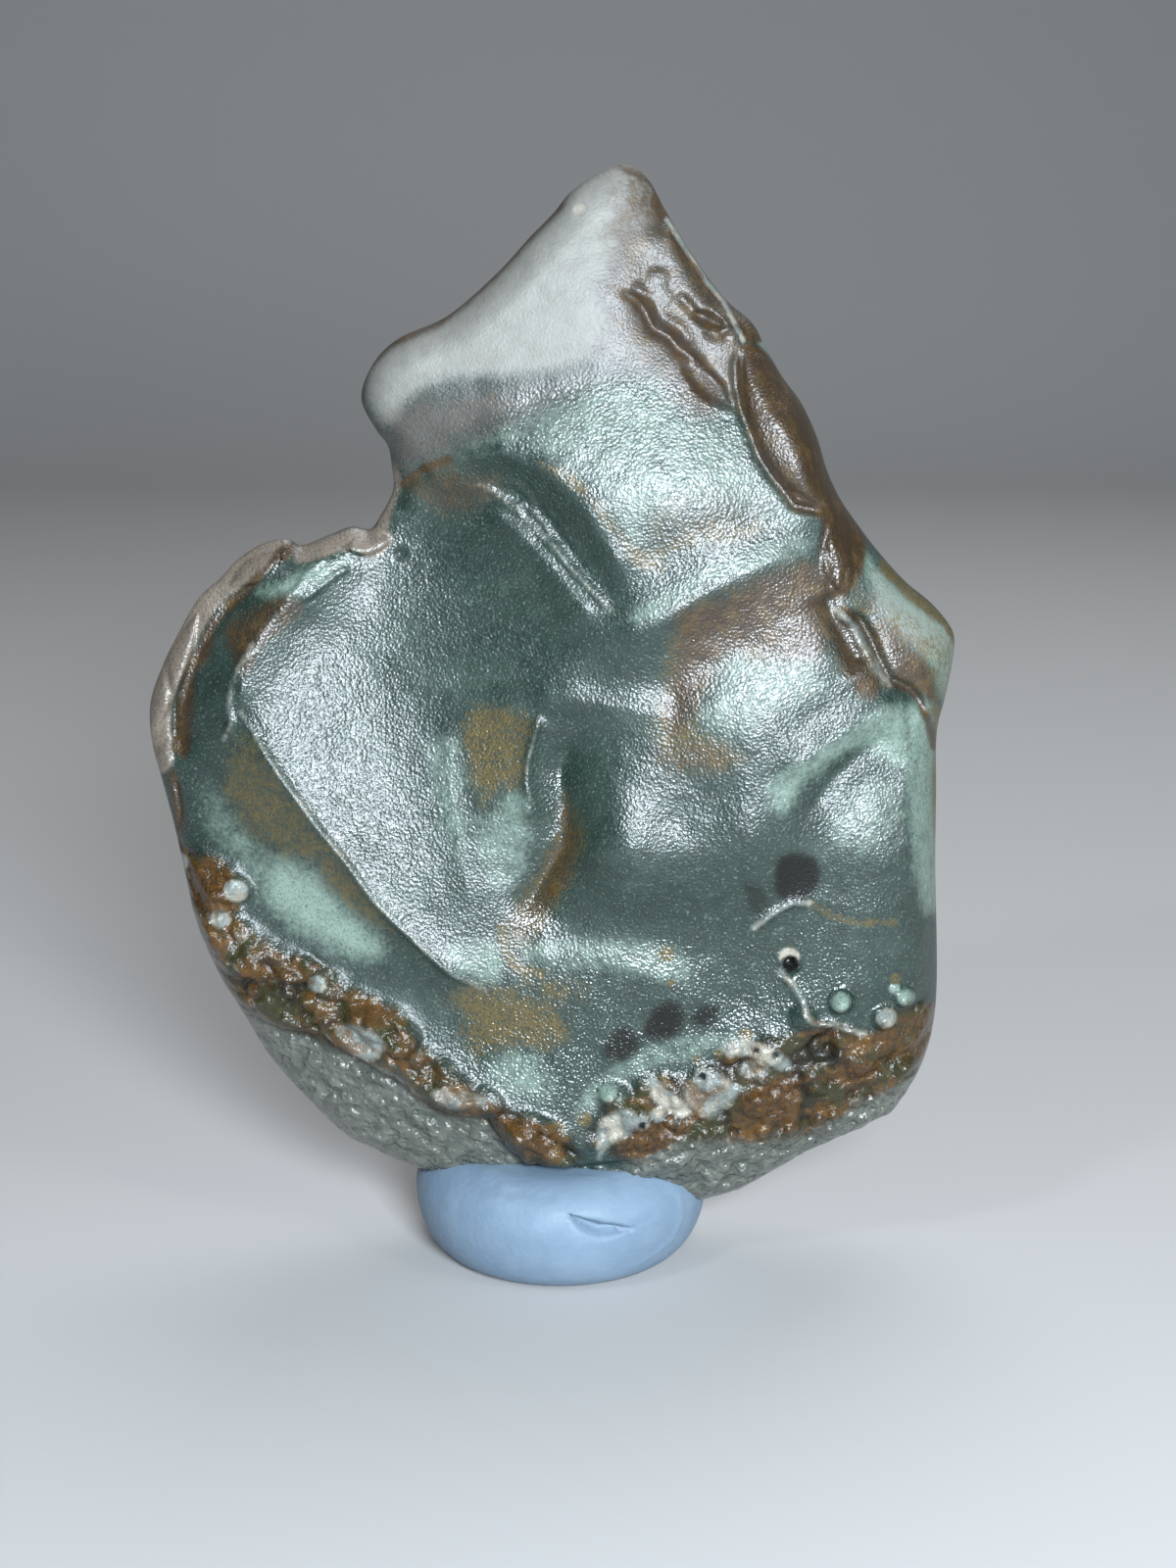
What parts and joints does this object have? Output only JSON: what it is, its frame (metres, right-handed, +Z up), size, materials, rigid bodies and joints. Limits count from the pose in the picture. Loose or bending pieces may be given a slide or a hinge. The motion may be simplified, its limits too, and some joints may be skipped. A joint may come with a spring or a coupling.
{
  "type": "agate stone on stand",
  "caption": "Flat, upright, water-worn agate stone with a hollowed face, a pointed top and a crusted foot, pressed into a low lump of putty that stands it up.",
  "frame": {"origin": "centre of the putty's flat underside", "axes": "+Z up, towards the stone's peak; +Y through the stone from its hollowed front face to its back; +X to the right as the front face is seen"},
  "size_m": [0.0681, 0.0256, 0.0941],
  "materials": {
    "agate_green": "gloss",
    "putty_blue": "matte"
  },
  "bodies": {
    "root": {"agate_stone": "agate_green", "putty_foot": "putty_blue"}
  },
  "joints": []
}
